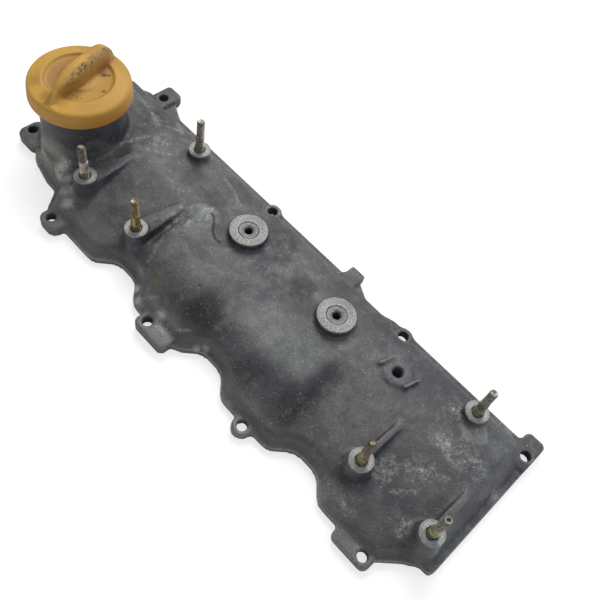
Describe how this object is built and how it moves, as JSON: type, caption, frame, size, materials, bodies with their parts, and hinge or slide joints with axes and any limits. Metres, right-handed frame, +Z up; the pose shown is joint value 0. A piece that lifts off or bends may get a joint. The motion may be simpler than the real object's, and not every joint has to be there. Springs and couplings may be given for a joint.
{
  "type": "engine valve cover",
  "caption": "Die-cast valve cover for a four-cylinder engine, with scalloped flange, stud bosses and a yellow screw-in oil filler cap",
  "frame": {"origin": "middle of the overall length and width, in the plane of the gasket face", "axes": "+X along the cylinder head towards the plain end, away from the filler neck; +Y across the head towards the straight far edge; +Z up, away from the head"},
  "size_m": [0.4174, 0.1528, 0.0791],
  "materials": {
    "cast_alloy": "as-cast, weathered grey",
    "cap_plastic": "moulded, matt yellow",
    "seal_rubber": "moulded black rubber",
    "plated_steel": "yellow zinc plated",
    "baffle_steel": "pressed sheet, oiled"
  },
  "bodies": {
    "cover": {"valve_cover": "cast_alloy", "cover_gasket": "seal_rubber", "oil_baffle": "baffle_steel", "baffle_screws": "plated_steel", "filler_end_studs": "plated_steel", "plain_end_studs": "plated_steel"},
    "seal": {"cap_seal": "seal_rubber"},
    "cap": {"filler_cap": "cap_plastic"}
  },
  "joints": [
    {"name": "cap_lift", "type": "slide", "parent": "cover", "child": "seal", "axis": [0, 0, 1], "range_m": [0, 0.00701]},
    {"name": "cap_turn", "type": "hinge", "parent": "seal", "child": "cap", "pos_m": [-0.172, -0.0083, 0.066], "axis": [0, 0, 1], "range_deg": [0, 630]}
  ],
  "couplings": [
    {"joint": "cap_lift", "follows": "cap_turn", "m_per_rad": 0.00063662}
  ]
}
